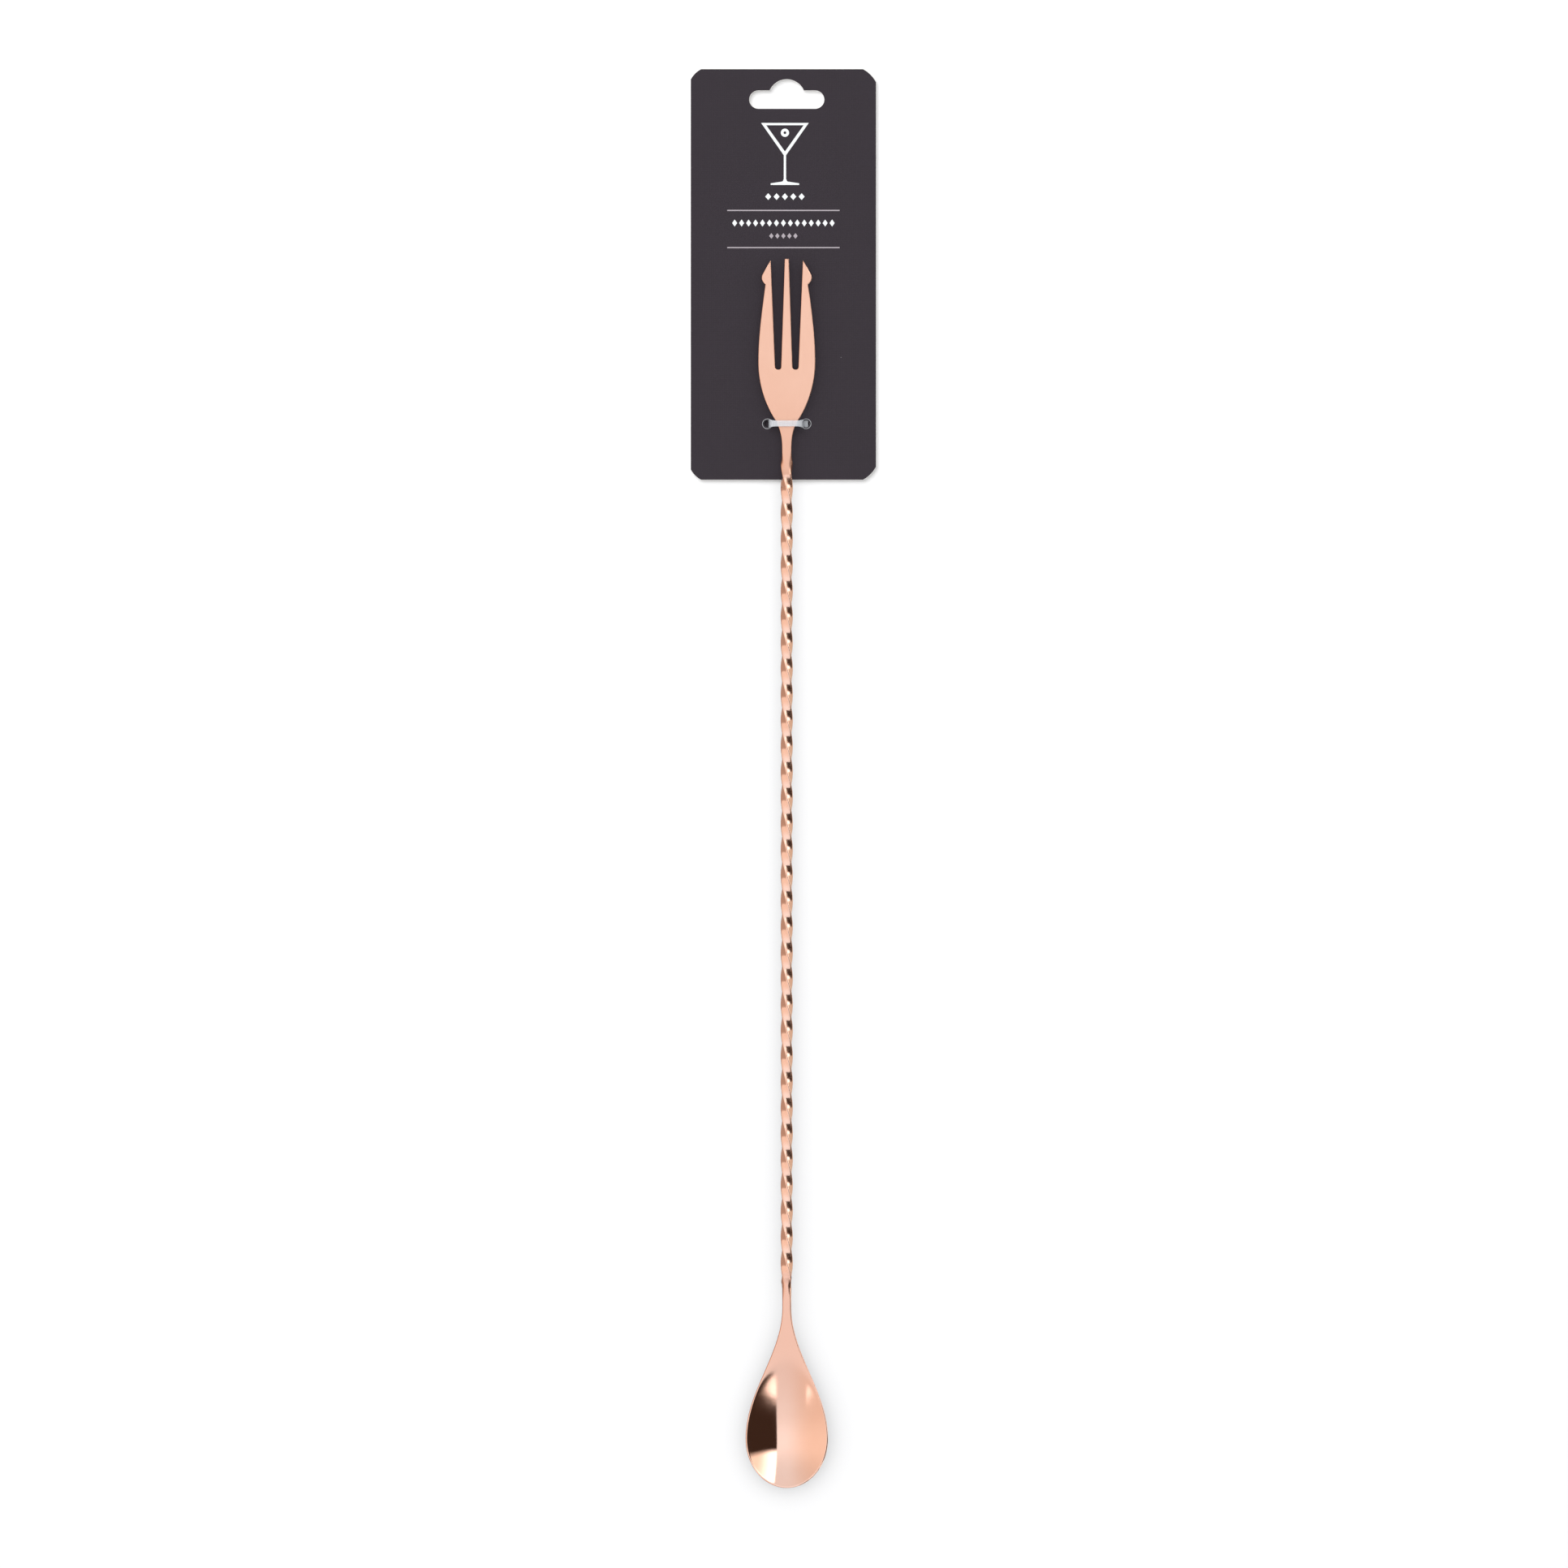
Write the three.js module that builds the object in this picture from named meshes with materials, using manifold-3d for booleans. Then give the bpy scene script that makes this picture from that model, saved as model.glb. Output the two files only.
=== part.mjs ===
// A trident bar spoon with a twisted stem, tied to its retail hang card. Millimetres.
//
// The spoon lies on its back, as on a table. +Z is up, and +Y runs along the stem from the bowl
// towards the fork and the card. The origin is on the table, under the card's centre line and
// midway between the card's top edge and the tip of the bowl.

import * as THREE from "three";
import { mergeVertices } from "three/addons/utils/BufferGeometryUtils.js";
import Module from "manifold-3d";

const wasm = await Module();
wasm.setup();

// ---------------------------------------------------------------- driving dimensions

const overallLength = 462; // top edge of the card to the tip of the bowl
const spoonLength = 400; // tip of the tines to the tip of the bowl
const cardWidth = 60.5;
const cardLength = 133.9;
const dieCutOffset = 1.1; // the slot, the tie holes and so the spoon sit this far right of the card's centre

const faceSheetThickness = 0.35;
const coreThickness = 1.2;

const barSide = 3.05; // square bar of the stem
const barCornerRadius = 0.42;
const quarterTurns = 31; // the bar is twisted by this many right angles between its welds
const quarterPitch = 8.41; // length of stem that turns through one right angle

const forkThickness = 1.6;
const forkLength = 70.3; // weld to tine tip
const forkHalfWidth = 9.27;

const bowlHalfWidth = 13.4;
const bowlTipLength = 16; // widest place to the tip
const bowlShoulderLength = 43; // widest place to where the sides run parallel
const bowlNeckHalfWidth = 1.43;
const neckLength = 9.5; // weld to where the bowl's neck is no longer part of the bar
const bowlWall = 1; // height of the rim's edge, and the wall's thickness at the rim
const rimLand = 0.55; // width of the flat rim
const bowlFloor = 1.15; // wall thickness at the bottom of the hollow

const slotArmWidth = 24.3; // hang slot, a flat oblong with a dome over its middle
const slotArmHeight = 5.8;
const slotDomeRadius = 6;
const slotBottomMargin = 12.9; // card's top edge to the slot's bottom edge

const tieWidth = 1.95;
const tieThickness = 0.5;
const tieHoleRadius = 1.6;
const tieHoleSpacing = 12.6;

const printThickness = 0.08;
const ruleLength = 36.6;
const ruleWidth = 0.4;

// ---------------------------------------------------------------- places worked out from them

const cardTop = overallLength / 2;
const cardBottom = cardTop - cardLength;
const cardFace = 2 * faceSheetThickness + coreThickness;

const bowlTip = -overallLength / 2;
const tineTip = bowlTip + spoonLength;
const forkWeld = tineTip - forkLength;
const stemLength = quarterTurns * quarterPitch;
const bowlWeld = forkWeld - stemLength;

const barCornerReach = (barSide / 2 - barCornerRadius) * Math.SQRT2 + barCornerRadius;
const stemClearance = 0.2; // between the stem and the card below it, and the tie above it
const axisHeight = cardFace + stemClearance + barCornerReach;
const rimHeight = axisHeight + barSide / 2; // the rim is level with the bar's upper side

const tieLevel = forkWeld + 16.7; // the tie crosses the neck at the foot of the fork's shoulders

// ---------------------------------------------------------------- materials

function material(color, roughness, metalness) {
  return new THREE.MeshStandardMaterial({ color, roughness, metalness });
}

const satinCopper = material("#f3c0a8", 0.35, 1);
const polishedCopper = material("#efb79c", 0.12, 1);
const darkCard = material("#403a40", 0.85, 0);
const whiteBoard = material("#f2f0ec", 0.9, 0);
const whiteInk = material("#f4f6f6", 0.6, 0);
const greyInk = material("#aba2aa", 0.6, 0);
const clearPlastic = material("#dfe6ee", 0.15, 0);

// ---------------------------------------------------------------- helpers

/** Turns a closed geometry into a solid that can be joined and cut. */
function solid(geometry) {
  const bare = geometry.clone();
  bare.deleteAttribute("normal");
  bare.deleteAttribute("uv");
  const merged = mergeVertices(bare, 1e-5);
  return new wasm.Manifold(
    new wasm.Mesh({
      numProp: 3,
      vertProperties: merged.attributes.position.array,
      triVerts: Uint32Array.from(merged.index.array),
    }),
  );
}

/** Turns a solid back into a geometry. */
function geometryOf(body) {
  const mesh = body.getMesh();
  const geometry = new THREE.BufferGeometry();
  geometry.setAttribute("position", new THREE.BufferAttribute(mesh.vertProperties, 3));
  geometry.setIndex(new THREE.BufferAttribute(mesh.triVerts, 1));
  geometry.computeVertexNormals();
  return geometry;
}

/** A flat plate of the shape's outline, from the height bottom up to bottom + thickness. */
function plate(shape, bottom, thickness, curveSegments = 12) {
  const geometry = new THREE.ExtrudeGeometry(shape, { depth: thickness, bevelEnabled: false, curveSegments });
  return geometry.translate(0, 0, bottom);
}

/** A block centred on (x, y), from the height bottom up to bottom + height. */
function block(x, y, bottom, width, length, height) {
  return new THREE.BoxGeometry(width, length, height).translate(x, y, bottom + height / 2);
}

/** A rectangular outline centred on (x, y). */
function rectangle(x, y, width, length) {
  return new THREE.Shape([
    new THREE.Vector2(x - width / 2, y - length / 2),
    new THREE.Vector2(x + width / 2, y - length / 2),
    new THREE.Vector2(x + width / 2, y + length / 2),
    new THREE.Vector2(x - width / 2, y + length / 2),
  ]);
}

/** An outline that is the same on both sides of the Y axis, from its right-hand half. */
function mirroredOutline(rightHalf) {
  const leftHalf = rightHalf.map((point) => new THREE.Vector2(-point.x, point.y)).reverse();
  return new THREE.Shape([...rightHalf, ...leftHalf]);
}

const object = new THREE.Group();
const spoon = new THREE.Group();
spoon.position.x = dieCutOffset;
object.add(spoon);
const card = new THREE.Group();
object.add(card);

function addPiece(parent, name, geometry, pieceMaterial) {
  const mesh = new THREE.Mesh(geometry, pieceMaterial);
  mesh.name = name;
  parent.add(mesh);
  return mesh;
}

// ---------------------------------------------------------------- twisted bar

/** The bar's square section with a flat across each rounded corner. Each side is made of some pieces. */
function barSection(pieces) {
  const half = barSide / 2;
  const flat = half - barCornerRadius * (2 - Math.SQRT2);
  const points = [];
  for (let side = 0; side < 4; side++) {
    for (let i = 0; i <= pieces; i++) {
      const along = THREE.MathUtils.lerp(-flat, flat, i / pieces);
      points.push(new THREE.Vector2(half, along).rotateAround(new THREE.Vector2(), (side * Math.PI) / 2));
    }
  }
  return new THREE.Shape(points);
}

/**
 * The bar between two distances below the fork's weld. Its faces are square on at both welds, and
 * beyond them it turns on for an eighth turn, until it stands on its corner.
 */
function bar(from, to, pieces = 1) {
  const length = to - from;
  const geometry = new THREE.ExtrudeGeometry(barSection(pieces), {
    depth: length,
    steps: Math.ceil((5 * length) / quarterPitch),
    bevelEnabled: false,
  });
  geometry.translate(0, 0, from);
  const rate = Math.PI / 2 / quarterPitch;
  const position = geometry.attributes.position;
  const point = new THREE.Vector3();
  const barAxis = new THREE.Vector3(0, 0, 1);
  for (let i = 0; i < position.count; i++) {
    point.fromBufferAttribute(position, i);
    const turning = THREE.MathUtils.clamp(point.z, -quarterPitch / 2, stemLength + quarterPitch / 2);
    point.applyAxisAngle(barAxis, -rate * turning);
    position.setXYZ(i, point.x, point.y, point.z);
  }
  return geometry.rotateX(Math.PI / 2).translate(0, forkWeld, axisHeight);
}

addPiece(spoon, "twisted_stem", bar(0, stemLength), polishedCopper);

// ---------------------------------------------------------------- fork

const tangLength = 8; // the pressed end of the bar, that the plate runs into

/** The fork's right-hand edge, from the weld round the barb and the slot to the middle tine's tip. */
function forkEdge() {
  const hidden = 1.1; // half-width of the stub that lies inside the bar's pressed end
  const neck = new THREE.Vector2(1.5, forkWeld + tangLength);
  const shoulderFoot = new THREE.Vector2(3.45, forkWeld + 17.4);
  const widest = new THREE.Vector2(forkHalfWidth, forkWeld + 36.8);
  const barbRoot = new THREE.Vector2(6.95, tineTip - 8.3);
  const barb = new THREE.Vector2(8.1, tineTip - 5.7);
  const outerTip = new THREE.Vector2(5.24, tineTip - 0.4);
  const slotOuterCorner = new THREE.Vector2(3.8, tineTip - 36);
  const slotInnerCorner = new THREE.Vector2(1.84, tineTip - 36);
  const cornerDepth = 0.9; // the slot's round bottom starts this far above it
  const middleTipHalfWidth = 0.66;

  const edge = new THREE.Path();
  edge.moveTo(hidden, forkWeld);
  edge.lineTo(hidden, forkWeld + tangLength / 2);
  edge.quadraticCurveTo(hidden, neck.y - 2, neck.x, neck.y);
  edge.quadraticCurveTo(neck.x + 0.12, neck.y + 5.9, shoulderFoot.x, shoulderFoot.y);
  edge.bezierCurveTo(7.3, forkWeld + 23.2, widest.x, widest.y - 7, widest.x, widest.y);
  edge.bezierCurveTo(widest.x, widest.y + 7.5, barbRoot.x + 1.4, barbRoot.y - 10, barbRoot.x, barbRoot.y);
  edge.quadraticCurveTo(barb.x + 0.3, barbRoot.y + 1.2, barb.x, barb.y);
  edge.quadraticCurveTo(barb.x - 0.1, barb.y + 0.6, barb.x - 0.5, barb.y + 1.2);
  edge.lineTo(outerTip.x, outerTip.y);
  edge.lineTo(slotOuterCorner.x, slotOuterCorner.y + cornerDepth);
  const slotMiddle = (slotOuterCorner.x + slotInnerCorner.x) / 2;
  edge.quadraticCurveTo(slotOuterCorner.x, slotOuterCorner.y, slotMiddle, slotOuterCorner.y);
  edge.quadraticCurveTo(slotInnerCorner.x, slotInnerCorner.y, slotInnerCorner.x, slotInnerCorner.y + cornerDepth);
  edge.lineTo(middleTipHalfWidth, tineTip);
  return edge.getPoints(8);
}

/** The fork from the side: bar at the weld, pressed flatter along the tang, then thinning to the plate. */
function forkSide() {
  const barHalf = barSide / 2;
  const tangHalf = 1;
  const plateHalf = forkThickness / 2;
  const pressed = forkWeld + quarterPitch / 2;
  const thinFrom = forkWeld + tangLength;
  const thinTo = thinFrom + 6;
  const upper = new THREE.Path();
  upper.moveTo(barHalf, forkWeld);
  upper.bezierCurveTo(barHalf, forkWeld + 2, tangHalf, forkWeld + 2, tangHalf, pressed);
  upper.lineTo(tangHalf, thinFrom);
  upper.bezierCurveTo(tangHalf, thinFrom + 3, plateHalf, thinFrom + 3, plateHalf, thinTo);
  upper.lineTo(plateHalf, tineTip);
  return mirroredOutline(upper.getPoints(8));
}

/** From above, the bar's pressed end: as wide as the bar on its corner, then narrowing to the neck. */
function tangEdge() {
  const full = barCornerReach + 0.2;
  const narrowFrom = forkWeld + 0.6 * tangLength;
  const narrowTo = forkWeld + tangLength;
  const edge = new THREE.Path();
  edge.moveTo(full, forkWeld);
  edge.lineTo(full, narrowFrom);
  edge.bezierCurveTo(full - 0.3, narrowFrom + 1, 1.5, narrowTo - 1.5, 1.5, narrowTo);
  return edge.getPoints(6);
}

/** A full-height solid over an outline. */
function pillar(shape) {
  return solid(plate(shape, axisHeight - barSide, 2 * barSide));
}

function forkGeometry() {
  const reach = 2 * forkHalfWidth + 2;
  const side = new THREE.ExtrudeGeometry(forkSide(), { depth: reach, bevelEnabled: false });
  side.translate(0, 0, -reach / 2).rotateY(Math.PI / 2).translate(0, 0, axisHeight);
  const tang = solid(bar(-tangLength, 0)).intersect(pillar(mirroredOutline(tangEdge())));
  return geometryOf(pillar(mirroredOutline(forkEdge())).add(tang).intersect(solid(side)));
}

addPiece(spoon, "trident", forkGeometry(), satinCopper);

// ---------------------------------------------------------------- bowl

const bowlWidest = bowlTip + bowlTipLength;

/** Square of the bowl's half-width at y. It goes below zero past the tip. */
function halfWidthSquared(y, halfWidth, tipLength) {
  const beyond = bowlWidest - y;
  if (beyond > 0) {
    return halfWidth ** 2 * (1 - (beyond / tipLength) ** 2);
  }
  const shoulder = Math.cos((Math.PI / 2) * Math.min(-beyond / bowlShoulderLength, 1)) ** 2;
  const inset = bowlHalfWidth - halfWidth;
  const neck = bowlNeckHalfWidth - inset;
  return (neck + (halfWidth - neck) * shoulder) ** 2;
}

/** The bowl's outline: an ellipse round the tip, a long raised-cosine shoulder, and a blunt upper end. */
function bowlOutline() {
  const points = [];
  const tipSteps = 14;
  for (let i = 0; i < tipSteps; i++) {
    const angle = (Math.PI / 2) * (i / tipSteps);
    points.push(
      new THREE.Vector2(bowlHalfWidth * Math.sin(angle), bowlWidest - bowlTipLength * Math.cos(angle)),
    );
  }
  const shoulderSteps = 20;
  const neckFoot = bowlWeld - neckLength;
  for (let i = 0; i <= shoulderSteps; i++) {
    const y = THREE.MathUtils.lerp(bowlWidest, neckFoot, i / shoulderSteps);
    points.push(new THREE.Vector2(Math.sqrt(halfWidthSquared(y, bowlHalfWidth, bowlTipLength)), y));
  }
  points.push(new THREE.Vector2(bowlNeckHalfWidth - 0.3, neckFoot + 1.5));
  const left = points.slice(1).map((point) => new THREE.Vector2(-point.x, point.y));
  return new THREE.Shape([...points, ...left.reverse()]);
}

/** A solid over the whole bowl, between two height fields. */
function slab(bottom, top) {
  const margin = 1;
  const width = 2 * (bowlHalfWidth + margin);
  const length = bowlWeld - bowlTip + 2 * margin;
  const geometry = new THREE.BoxGeometry(width, length, 1, 22, 40, 1);
  geometry.translate(0, (bowlWeld + bowlTip) / 2, 0);
  const position = geometry.attributes.position;
  for (let i = 0; i < position.count; i++) {
    const x = position.getX(i);
    const y = position.getY(i);
    position.setZ(i, position.getZ(i) > 0 ? top(x, y) : bottom(x, y));
  }
  return solid(geometry);
}

/** The bar's lower end: its corners pressed in all round, and shrinking until it is inside the bowl's neck. */
function neckGeometry() {
  const length = neckLength + 1.5;
  const geometry = bar(stemLength, stemLength + length, 4);
  const position = geometry.attributes.position;
  for (let i = 0; i < position.count; i++) {
    const along = (bowlWeld - position.getY(i)) / length;
    const sides = THREE.MathUtils.lerp(1.72, 1.3, THREE.MathUtils.smoothstep(along, 0.45, 1));
    const above = THREE.MathUtils.lerp(1.53, 1.45, along) - 0.2 * Math.sin(Math.PI * along) ** 2;
    const below = THREE.MathUtils.lerp(1.53, 0.6, THREE.MathUtils.smoothstep(along, 0.25, 1));
    const height = position.getZ(i) - axisHeight;
    position.setX(i, THREE.MathUtils.clamp(position.getX(i), -sides, sides));
    position.setZ(i, axisHeight + THREE.MathUtils.clamp(height, -below, above));
  }
  return geometry;
}

function bowlGeometry() {
  const outerDepth = rimHeight - bowlWall;
  const innerHalfWidth = bowlHalfWidth - rimLand;
  const innerTipLength = bowlTipLength - rimLand;
  const innerDepth = rimHeight - bowlFloor;
  const thickNeck = 24; // length over which the neck thins from the bar to the bowl's wall

  const underside = (x, y) => {
    const edge = THREE.MathUtils.smoothstep(y, bowlWeld - thickNeck, bowlWeld - 1);
    const wall = THREE.MathUtils.lerp(bowlWall, barSide, edge);
    const belly = (halfWidthSquared(y, bowlHalfWidth, bowlTipLength) - x * x) / bowlHalfWidth ** 2;
    return rimHeight - wall - outerDepth * belly * (1 - edge);
  };
  const hollowFloor = (x, y) => {
    const across = halfWidthSquared(y, innerHalfWidth, innerTipLength) - x * x;
    const runOut = 0.0056 * Math.max(y - bowlWidest - 13, 0) ** 2; // the hollow ends short of the neck
    return rimHeight - (innerDepth * across) / innerHalfWidth ** 2 + runOut;
  };
  const above = () => rimHeight + 20;

  const body = solid(plate(bowlOutline(), -1, rimHeight + 1));
  const shell = body.intersect(slab(underside, above)).subtract(slab(hollowFloor, above));
  return geometryOf(shell.add(solid(neckGeometry())));
}

addPiece(spoon, "bowl", bowlGeometry(), polishedCopper);

// ---------------------------------------------------------------- hang card

/** The card's outline, with shallow curved cuts across its corners. */
function cardOutline() {
  const halfWidth = cardWidth / 2;
  const leftCut = 3.4;
  const rightCut = 4.3;
  const bulge = 0.3; // how far the cut's middle is pulled from the chord towards the corner
  const outline = new THREE.Shape();
  const corners = [
    { x: halfWidth, y: cardBottom, cut: rightCut, from: [-1, 0], to: [0, 1] },
    { x: halfWidth, y: cardTop, cut: rightCut, from: [0, -1], to: [-1, 0] },
    { x: -halfWidth, y: cardTop, cut: leftCut, from: [1, 0], to: [0, -1] },
    { x: -halfWidth, y: cardBottom, cut: leftCut, from: [0, 1], to: [1, 0] },
  ];
  corners.forEach(({ x, y, cut, from, to }, index) => {
    const startX = x + from[0] * cut;
    const startY = y + from[1] * cut;
    const endX = x + to[0] * cut;
    const endY = y + to[1] * cut;
    const controlX = THREE.MathUtils.lerp((startX + endX) / 2, x, bulge);
    const controlY = THREE.MathUtils.lerp((startY + endY) / 2, y, bulge);
    if (index === 0) {
      outline.moveTo(startX, startY);
    } else {
      outline.lineTo(startX, startY);
    }
    outline.quadraticCurveTo(controlX, controlY, endX, endY);
  });
  outline.closePath();
  return outline;
}

/** The hang slot: two round-ended arms with a dome between them. */
function hangSlot() {
  const armRadius = slotArmHeight / 2;
  const armLevel = cardTop - slotBottomMargin + armRadius;
  const armEnd = slotArmWidth / 2 - armRadius;
  const domeLevel = armLevel + 0.55;
  const shoulder = Math.asin((armLevel + armRadius - domeLevel) / slotDomeRadius);
  const slot = new THREE.Path();
  slot.absarc(dieCutOffset + armEnd, armLevel, armRadius, -Math.PI / 2, Math.PI / 2);
  slot.absarc(dieCutOffset, domeLevel, slotDomeRadius, shoulder, Math.PI - shoulder);
  slot.absarc(dieCutOffset - armEnd, armLevel, armRadius, Math.PI / 2, (3 * Math.PI) / 2);
  slot.closePath();
  return slot;
}

/** The two holes that the tie's legs go through, in the front sheet only. */
function tieHoles() {
  return [-1, 1].map((side) => {
    const hole = new THREE.Path();
    hole.absarc(dieCutOffset + (side * tieHoleSpacing) / 2, tieLevel, tieHoleRadius, 0, 2 * Math.PI);
    return hole;
  });
}

/** The window in the core board that the tie's end bars lie in. */
function tiePocket() {
  const halfWidth = tieHoleSpacing / 2 + 2.4;
  const halfLength = 2.6;
  return rectangle(dieCutOffset, tieLevel, 2 * halfWidth, 2 * halfLength);
}

function cardSheet(bottom, thickness, openings) {
  const outline = cardOutline();
  outline.holes.push(hangSlot(), ...openings);
  return plate(outline, bottom, thickness, 8);
}

const coreBottom = faceSheetThickness;
const coreTop = coreBottom + coreThickness;
addPiece(card, "card_back_sheet", cardSheet(0, faceSheetThickness, []), darkCard);
addPiece(card, "card_core_board", cardSheet(coreBottom, coreThickness, [tiePocket()]), whiteBoard);
addPiece(card, "card_front_sheet", cardSheet(coreTop, faceSheetThickness, tieHoles()), darkCard);

// ---------------------------------------------------------------- clear tie

/** The strap's middle line, from the left end bar over the neck and down to the right end bar. */
function tiePath(legBottom) {
  const leftLeg = dieCutOffset - 5.7;
  const rightLeg = dieCutOffset + 5.35;
  const bridgeHalf = 3.2;
  const bridge = axisHeight + barCornerReach + stemClearance + tieThickness / 2;
  const bendStart = axisHeight - 1;
  const at = (x, z) => new THREE.Vector3(x, tieLevel, z);
  const path = new THREE.CurvePath();
  path.add(new THREE.LineCurve3(at(leftLeg, legBottom), at(leftLeg, bendStart)));
  path.add(
    new THREE.QuadraticBezierCurve3(
      at(leftLeg, bendStart),
      at(leftLeg, bridge),
      at(dieCutOffset - bridgeHalf, bridge),
    ),
  );
  path.add(new THREE.LineCurve3(at(dieCutOffset - bridgeHalf, bridge), at(dieCutOffset + bridgeHalf, bridge)));
  path.add(
    new THREE.QuadraticBezierCurve3(
      at(dieCutOffset + bridgeHalf, bridge),
      at(rightLeg, bridge),
      at(rightLeg, bendStart),
    ),
  );
  path.add(new THREE.LineCurve3(at(rightLeg, bendStart), at(rightLeg, legBottom)));
  return path;
}

function tieGeometry() {
  const barWidth = 1.5;
  const barLength = 3.8; // longer than the hole is wide, so the bar holds behind the front sheet
  const barHeight = 0.9;
  const barBottom = coreBottom + (coreThickness - barHeight) / 2;
  const legBottom = barBottom + barHeight / 2;
  const leftBar = dieCutOffset - 5.2;
  const rightBar = dieCutOffset + 6.2;

  const section = rectangle(0, 0, tieWidth, tieThickness);
  const strap = new THREE.ExtrudeGeometry(section, { steps: 48, extrudePath: tiePath(legBottom) });
  const bars = [leftBar, rightBar].map((x) => block(x, tieLevel, barBottom, barWidth, barLength, barHeight));
  return geometryOf(solid(strap).add(solid(bars[0])).add(solid(bars[1])));
}

addPiece(card, "card_tie", tieGeometry(), clearPlastic);

// ---------------------------------------------------------------- print on the card

function addPrint(name, shape, ink) {
  addPiece(card, name, plate(shape, cardFace, printThickness, 10), ink);
}

/** A row of lozenges strung on a thin line. */
function lozengeRow(centreX, level, length, height, count) {
  const half = 0.1; // half the thickness of the line between two lozenges
  const pitch = length / count;
  const upper = [];
  for (let i = 0; i < count; i++) {
    const middle = centreX + (i - (count - 1) / 2) * pitch;
    const reach = pitch * 0.36;
    upper.push(new THREE.Vector2(middle - reach, level + half));
    upper.push(new THREE.Vector2(middle, level + height / 2));
    upper.push(new THREE.Vector2(middle + reach, level + half));
  }
  const lower = upper.map((point) => new THREE.Vector2(point.x, 2 * level - point.y));
  return new THREE.Shape([...lower, ...upper.reverse()]);
}

/** A plain cocktail glass in outline: an open cone, a stem and a foot. */
function glassEmblem(centreX, top, height, width) {
  const line = 0.75;
  const halfLine = line / 2;
  const halfRim = width / 2;
  const coneDepth = height * 0.52;
  const footHalf = width * 0.3;
  const bottom = top - height;
  const right = [
    new THREE.Vector2(centreX + footHalf, bottom),
    new THREE.Vector2(centreX + footHalf, bottom + line),
    new THREE.Vector2(centreX + halfLine, bottom + 2 * line),
    new THREE.Vector2(centreX + halfLine, top - coneDepth),
    new THREE.Vector2(centreX + halfRim, top),
  ];
  const left = right.map((point) => new THREE.Vector2(2 * centreX - point.x, point.y)).reverse();
  const emblem = new THREE.Shape([...right, ...left]);
  const inside = new THREE.Path();
  const innerTop = top - line;
  const innerHalf = halfRim - 2.2 * line;
  inside.moveTo(centreX - innerHalf, innerTop);
  inside.lineTo(centreX + innerHalf, innerTop);
  inside.lineTo(centreX, top - coneDepth + 1.6 * line);
  inside.closePath();
  emblem.holes.push(inside);
  return emblem;
}

const emblemTop = cardTop - 17.6;
const nameLevel = cardTop - 41.6;
const upperRuleLevel = cardTop - 46.1;
const titleLevel = cardTop - 50.2;
const sizeLevel = cardTop - 54.4;
const lowerRuleLevel = cardTop - 58.2;

addPrint("print_emblem", glassEmblem(0.5, emblemTop, 20.2, 15.5), whiteInk);
addPrint("print_name_ornament", lozengeRow(0.5, nameLevel, 13.6, 2.2, 5), whiteInk);
addPrint("print_upper_rule", rectangle(0, upperRuleLevel, ruleLength, ruleWidth), greyInk);
addPrint("print_title_ornament", lozengeRow(0, titleLevel, 34, 2.3, 15), whiteInk);
addPrint("print_size_ornament", lozengeRow(0, sizeLevel, 9.8, 1.8, 5), greyInk);
addPrint("print_lower_rule", rectangle(0, lowerRuleLevel, ruleLength, ruleWidth), greyInk);

export default object;
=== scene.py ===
import math

import bmesh
import bpy
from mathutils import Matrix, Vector
from mathutils.geometry import interpolate_bezier


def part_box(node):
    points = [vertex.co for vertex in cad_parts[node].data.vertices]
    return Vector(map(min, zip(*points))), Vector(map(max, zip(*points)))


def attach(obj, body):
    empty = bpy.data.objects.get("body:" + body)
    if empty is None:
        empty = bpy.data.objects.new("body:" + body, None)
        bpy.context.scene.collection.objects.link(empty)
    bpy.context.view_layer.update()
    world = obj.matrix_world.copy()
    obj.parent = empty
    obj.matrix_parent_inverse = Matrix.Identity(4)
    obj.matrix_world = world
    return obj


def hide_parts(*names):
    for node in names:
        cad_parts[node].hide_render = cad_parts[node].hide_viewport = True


# A trident bar spoon with a twisted stem, tied to its hang card, lying on a pale floor.
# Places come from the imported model. Shapes are worked out in millimetres and built in metres.

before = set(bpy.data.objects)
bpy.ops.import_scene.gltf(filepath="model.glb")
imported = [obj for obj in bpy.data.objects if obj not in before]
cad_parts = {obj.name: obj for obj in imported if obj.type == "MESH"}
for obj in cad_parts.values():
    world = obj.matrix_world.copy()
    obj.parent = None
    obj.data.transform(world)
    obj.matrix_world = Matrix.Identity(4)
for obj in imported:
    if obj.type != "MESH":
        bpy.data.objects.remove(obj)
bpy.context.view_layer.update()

MM = 0.001


def node_box(node):
    """A CAD node's lowest and highest corner, in millimetres."""
    low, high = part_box(node)
    return low / MM, high / MM


fork_low, fork_high = node_box("trident")
stem_low, stem_high = node_box("twisted_stem")
bowl_low, bowl_high = node_box("bowl")
core_low, core_high = node_box("card_core_board")
face_low, face_high = node_box("card_front_sheet")
tie_low, tie_high = node_box("card_tie")

AXIS_X = (stem_low.x + stem_high.x) / 2
AXIS_Z = (stem_low.z + stem_high.z) / 2
FORK_WELD = stem_high.y
BOWL_WELD = stem_low.y
BAR_HALF = fork_high.z - AXIS_Z
CARD_FACE = face_high.z
TIE_LEVEL = (tie_low.y + tie_high.y) / 2

SAME_PLACE = 0.001  # coordinates closer than this are taken as equal: a mesh keeps them in single precision
RIM_ANGLE = 1.2  # a plate's face meets its wall at more than this angle, in radians


# ---------------------------------------------------------------- mesh helpers


def lerp(a, b, t):
    return a + (b - a) * t


def smoothstep(value, low, high):
    t = min(max((value - low) / (high - low), 0), 1)
    return t * t * (3 - 2 * t)


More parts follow.
